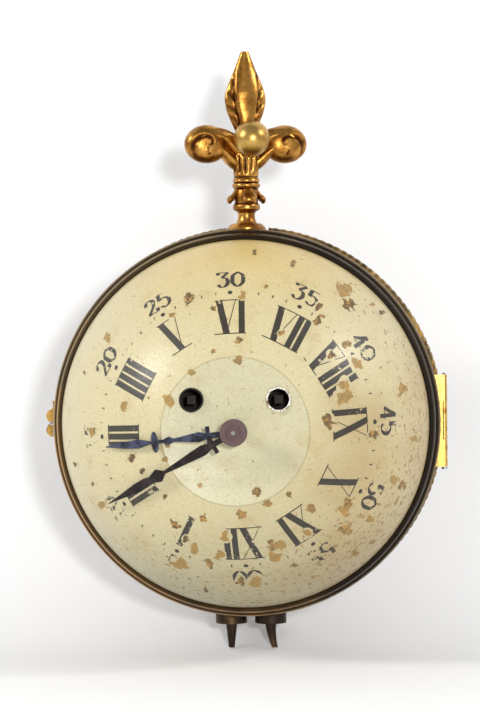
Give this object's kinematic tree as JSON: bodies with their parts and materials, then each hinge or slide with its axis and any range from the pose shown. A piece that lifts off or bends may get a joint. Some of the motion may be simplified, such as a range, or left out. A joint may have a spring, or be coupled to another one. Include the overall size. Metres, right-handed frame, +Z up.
{
  "type": "globe clock",
  "caption": "Ball-shaped spring-driven clock: a hinged bezel carries a painted dome dial and the movement, with a gilded lily finial above and two prongs below.",
  "frame": {"origin": "midway between the two support prongs, where their axes meet the outside of the case band", "axes": "+Z up towards the finial; the dial faces -Y; +X is to the viewer's right, where the hinge is"},
  "size_m": [0.2032, 0.1981, 0.3025],
  "materials": {
    "gilt_brass": "bright, rubbed gilding",
    "aged_brass": "dull",
    "dark_bronze": "brown-black patina",
    "painted_dial": "crackled cream paint with flakes",
    "shell_metal": "patinated",
    "blued_steel": "browned",
    "steel": "polished",
    "bell_metal": "turned"
  },
  "bodies": {
    "case": {"rear_shell": "shell_metal", "case_band": "dark_bronze", "edge_bead": "aged_brass", "back_boss": "dark_bronze", "case_hinge_leaf": "aged_brass", "hinge_pin": "steel", "catch_plate": "gilt_brass", "finial_flange": "gilt_brass", "finial_stem": "gilt_brass", "finial_lily": "gilt_brass", "finial_ball": "aged_brass", "finial_stud": "steel", "finial_nut": "aged_brass", "prong_left": "dark_bronze", "prong_right": "dark_bronze", "prong_nut_left": "aged_brass", "prong_nut_right": "aged_brass"},
    "catch": {"catch_button": "gilt_brass", "catch_arm": "gilt_brass"},
    "door": {"bezel": "dark_bronze", "dial": "painted_dial", "dial_pins": "steel", "going_winding_eyelet": "aged_brass", "strike_winding_eyelet": "aged_brass", "door_hinge_leaf": "gilt_brass", "catch_keeper": "steel", "front_plate": "aged_brass", "back_plate": "aged_brass", "plate_pillars": "aged_brass", "pillar_screws": "steel", "dial_feet": "aged_brass", "dial_foot_pins": "steel", "minute_wheel_post": "steel", "going_click": "steel", "strike_click": "steel", "bell": "bell_metal", "bell_stud": "steel", "bell_nut": "aged_brass"},
    "minute_works": {"centre_arbor": "steel", "centre_wheel": "aged_brass", "cannon_pinion": "steel", "minute_hand": "blued_steel", "hand_nut": "aged_brass"},
    "hour_works": {"hour_wheel": "aged_brass", "hour_hand": "blued_steel"},
    "minute_wheel": {"minute_wheel": "aged_brass"},
    "going_barrel": {"going_barrel": "aged_brass"},
    "strike_barrel": {"strike_barrel": "aged_brass"},
    "going_second": {"going_second_arbor": "steel", "going_second_wheel": "aged_brass"},
    "strike_second": {"strike_second_arbor": "steel", "strike_second_wheel": "aged_brass"},
    "third": {"third_arbor": "steel", "third_wheel": "aged_brass"},
    "going_winding": {"going_winding_arbor": "steel", "going_ratchet": "steel"},
    "strike_winding": {"strike_winding_arbor": "steel", "strike_ratchet": "steel"},
    "hammer": {"hammer": "steel"}
  },
  "joints": [
    {"name": "door_hinge", "type": "hinge", "parent": "case", "child": "door", "pos_m": [0.0989, 0, 0.09598], "axis": [0, 0, 1], "range_deg": [0, 110]},
    {"name": "catch_turn", "type": "hinge", "parent": "case", "child": "catch", "pos_m": [-0.099, 0.0065, 0.09598], "axis": [1, 0, 0], "range_deg": [0, 90]},
    {"name": "minute_spin", "type": "hinge", "parent": "door", "child": "minute_works", "pos_m": [0, 0, 0.09598], "axis": [0, 1, 0], "continuous": true},
    {"name": "hour_spin", "type": "hinge", "parent": "door", "child": "hour_works", "pos_m": [0, 0, 0.09598], "axis": [0, 1, 0], "continuous": true},
    {"name": "minute_wheel_spin", "type": "hinge", "parent": "door", "child": "minute_wheel", "pos_m": [0, 0, 0.10898], "axis": [0, 1, 0], "continuous": true},
    {"name": "going_barrel_spin", "type": "hinge", "parent": "door", "child": "going_barrel", "pos_m": [-0.0206, 0, 0.11098], "axis": [0, 1, 0], "continuous": true},
    {"name": "strike_barrel_spin", "type": "hinge", "parent": "door", "child": "strike_barrel", "pos_m": [0.0206, 0, 0.11098], "axis": [0, 1, 0], "continuous": true},
    {"name": "going_second_spin", "type": "hinge", "parent": "door", "child": "going_second", "pos_m": [-0.01303, 0, 0.09086], "axis": [0, 1, 0], "continuous": true},
    {"name": "strike_second_spin", "type": "hinge", "parent": "door", "child": "strike_second", "pos_m": [0.01303, 0, 0.09086], "axis": [0, 1, 0], "continuous": true},
    {"name": "third_spin", "type": "hinge", "parent": "door", "child": "third", "pos_m": [0, 0, 0.08238], "axis": [0, 1, 0], "continuous": true},
    {"name": "going_winding_turn", "type": "hinge", "parent": "door", "child": "going_winding", "pos_m": [-0.0206, 0, 0.11098], "axis": [0, 1, 0], "continuous": true},
    {"name": "strike_winding_turn", "type": "hinge", "parent": "door", "child": "strike_winding", "pos_m": [0.0206, 0, 0.11098], "axis": [0, 1, 0], "continuous": true},
    {"name": "hammer_swing", "type": "hinge", "parent": "door", "child": "hammer", "pos_m": [0.03, 0, 0.06598], "axis": [0, 1, 0], "range_deg": [0, 10], "stiffness_Nm_per_rad": 0.05}
  ],
  "couplings": [
    {"joint": "going_barrel_spin", "follows": "minute_spin", "ratio": 0.02193},
    {"joint": "going_second_spin", "follows": "minute_spin", "ratio": -0.16667},
    {"joint": "third_spin", "follows": "minute_spin", "ratio": -7.5},
    {"joint": "minute_wheel_spin", "follows": "minute_spin", "ratio": -0.33333},
    {"joint": "hour_spin", "follows": "minute_spin", "ratio": 0.083333},
    {"joint": "strike_second_spin", "follows": "strike_barrel_spin", "ratio": -7.6}
  ]
}
